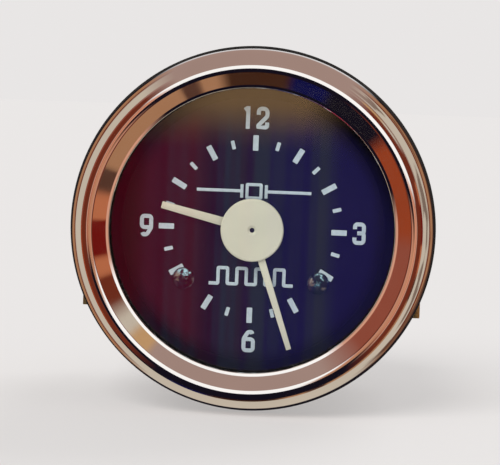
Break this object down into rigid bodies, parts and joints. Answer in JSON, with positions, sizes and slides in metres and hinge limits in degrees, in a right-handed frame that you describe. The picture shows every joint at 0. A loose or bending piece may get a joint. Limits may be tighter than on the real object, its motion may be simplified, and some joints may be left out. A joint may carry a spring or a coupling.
{
  "type": "dashboard clock",
  "caption": "Round panel clock with a chromed bezel, black dial, cream hands, a geared quartz movement in a steel can, rear setting knob and a clamping bracket.",
  "frame": {"origin": "on the dial axis, at the plane where the seal meets the panel face", "axes": "+Z to 12 o'clock, -Y out of the dial towards the viewer, +X to 3 o'clock"},
  "size_m": [0.06, 0.064, 0.06],
  "materials": {
    "chrome": "polished chrome plate",
    "clear_glass": "polished",
    "black_rubber": "matt",
    "visor_black": "matt black paint",
    "zinc_steel": "clear zinc plate",
    "dial_black": "satin black with white print",
    "screw_black": "black oxide",
    "hand_cream": "cream paint on aluminium",
    "movement_brass": "lacquered",
    "bright_steel": "bright zinc plate",
    "arbor_steel": "turned",
    "spring_bronze": "rolled phosphor bronze",
    "white_acetal": "moulded",
    "wheel_brass": "cut",
    "magnet": "sintered",
    "motor_iron": "stamped",
    "bobbin_ivory": "moulded",
    "copper_wire": "enamelled copper",
    "board_green": "solder mask",
    "crystal_tin": "tinned can",
    "chip_black": "moulded",
    "capacitor_blue": "sleeved",
    "yellow_zinc": "yellow zinc plate",
    "nut_brass": "turned and knurled",
    "knob_black": "moulded",
    "blade_tin": "tinned brass",
    "fibre_brown": "paper phenolic",
    "holder_ivory": "moulded",
    "bulb_glass": "clear"
  },
  "bodies": {
    "clock_body": {"bezel": "chrome", "lens": "clear_glass", "lens_gasket": "black_rubber", "visor_ring": "visor_black", "panel_seal": "black_rubber", "case": "zinc_steel", "dial": "dial_black", "dial_screws": "screw_black", "main_plate": "movement_brass", "back_plate": "movement_brass", "dial_posts": "movement_brass", "plate_pillars": "movement_brass", "plate_screws": "bright_steel", "minute_wheel_post": "arbor_steel", "stator": "motor_iron", "coil_core": "motor_iron", "coil_bobbin": "bobbin_ivory", "coil_winding": "copper_wire", "motor_screws": "bright_steel", "circuit_board": "board_green", "board_spacers": "movement_brass", "crystal_can": "crystal_tin", "driver_chip": "chip_black", "capacitor": "capacitor_blue", "diode": "chip_black", "rear_studs": "bright_steel", "stud_nuts": "bright_steel", "set_bush": "movement_brass", "live_blade": "blade_tin", "earth_blade": "blade_tin", "blade_insulator": "fibre_brown"},
    "minute_works": {"minute_arbor": "arbor_steel", "clutch_spring": "spring_bronze", "minute_hand": "hand_cream", "hub_cap": "hand_cream"},
    "hour_works": {"hour_wheel": "white_acetal", "hour_hand": "hand_cream"},
    "motion_works": {"minute_wheel": "white_acetal"},
    "setting_works": {"set_shaft": "arbor_steel", "set_knob": "knob_black"},
    "rotor_works": {"rotor_pinion": "white_acetal", "rotor_magnet": "magnet"},
    "intermediate_works": {"intermediate_wheel": "white_acetal"},
    "second_works": {"second_wheel": "white_acetal"},
    "third_works": {"third_wheel": "white_acetal"},
    "centre_works": {"centre_wheel": "wheel_brass"},
    "bracket_works": {"mounting_bracket": "yellow_zinc", "lock_washers": "bright_steel"},
    "nut_left": {"thumb_nut_left": "nut_brass"},
    "nut_right": {"thumb_nut_right": "nut_brass"},
    "lamp_works": {"bulb_holder": "holder_ivory", "bulb": "bulb_glass"}
  },
  "joints": [
    {"name": "minute_hand_turn", "type": "hinge", "parent": "clock_body", "child": "minute_works", "pos_m": [0, 0, 0], "axis": [0, 1, 0], "continuous": true},
    {"name": "hour_hand_turn", "type": "hinge", "parent": "clock_body", "child": "hour_works", "pos_m": [0, 0, 0], "axis": [0, 1, 0], "continuous": true},
    {"name": "motion_wheel_turn", "type": "hinge", "parent": "clock_body", "child": "motion_works", "pos_m": [0, 0, 0.006], "axis": [0, 1, 0], "continuous": true},
    {"name": "set_knob_turn", "type": "hinge", "parent": "clock_body", "child": "setting_works", "pos_m": [0, 0, 0.012], "axis": [0, 1, 0], "continuous": true},
    {"name": "rotor_turn", "type": "hinge", "parent": "clock_body", "child": "rotor_works", "pos_m": [-0.00147, 0, -0.00972], "axis": [0, 1, 0], "continuous": true},
    {"name": "intermediate_wheel_turn", "type": "hinge", "parent": "clock_body", "child": "intermediate_works", "pos_m": [-0.00711, 0, -0.00767], "axis": [0, 1, 0], "continuous": true},
    {"name": "second_wheel_turn", "type": "hinge", "parent": "clock_body", "child": "second_works", "pos_m": [-0.01061, 0, -0.00161], "axis": [0, 1, 0], "continuous": true},
    {"name": "third_wheel_turn", "type": "hinge", "parent": "clock_body", "child": "third_works", "pos_m": [-0.00624, 0, 0.0036], "axis": [0, 1, 0], "continuous": true},
    {"name": "centre_wheel_turn", "type": "hinge", "parent": "clock_body", "child": "centre_works", "pos_m": [0, 0, 0], "axis": [0, 1, 0], "continuous": true},
    {"name": "bracket_slide", "type": "slide", "parent": "clock_body", "child": "bracket_works", "axis": [0, 1, 0], "range_m": [-0.0028, 0.0084]},
    {"name": "left_nut_turn", "type": "hinge", "parent": "bracket_works", "child": "nut_left", "pos_m": [-0.013, 0, -0.008], "axis": [0, 1, 0], "range_deg": [-1445, 4325]},
    {"name": "right_nut_turn", "type": "hinge", "parent": "bracket_works", "child": "nut_right", "pos_m": [0.013, 0, -0.008], "axis": [0, 1, 0], "range_deg": [-1445, 4325]},
    {"name": "bulb_holder_pull", "type": "slide", "parent": "clock_body", "child": "lamp_works", "axis": [0, 1, 0], "range_m": [0, 0.03]}
  ],
  "couplings": [
    {"joint": "hour_hand_turn", "follows": "minute_hand_turn", "ratio": 0.083333},
    {"joint": "motion_wheel_turn", "follows": "minute_hand_turn", "ratio": -0.33333},
    {"joint": "set_knob_turn", "follows": "minute_hand_turn", "ratio": 1},
    {"joint": "intermediate_wheel_turn", "follows": "rotor_turn", "ratio": -0.2},
    {"joint": "second_wheel_turn", "follows": "rotor_turn", "ratio": 0.033333},
    {"joint": "third_wheel_turn", "follows": "rotor_turn", "ratio": -0.0044444},
    {"joint": "centre_wheel_turn", "follows": "rotor_turn", "ratio": 0.00055556},
    {"joint": "left_nut_turn", "follows": "bracket_slide", "rad_per_m": 8976},
    {"joint": "right_nut_turn", "follows": "bracket_slide", "rad_per_m": 8976}
  ]
}
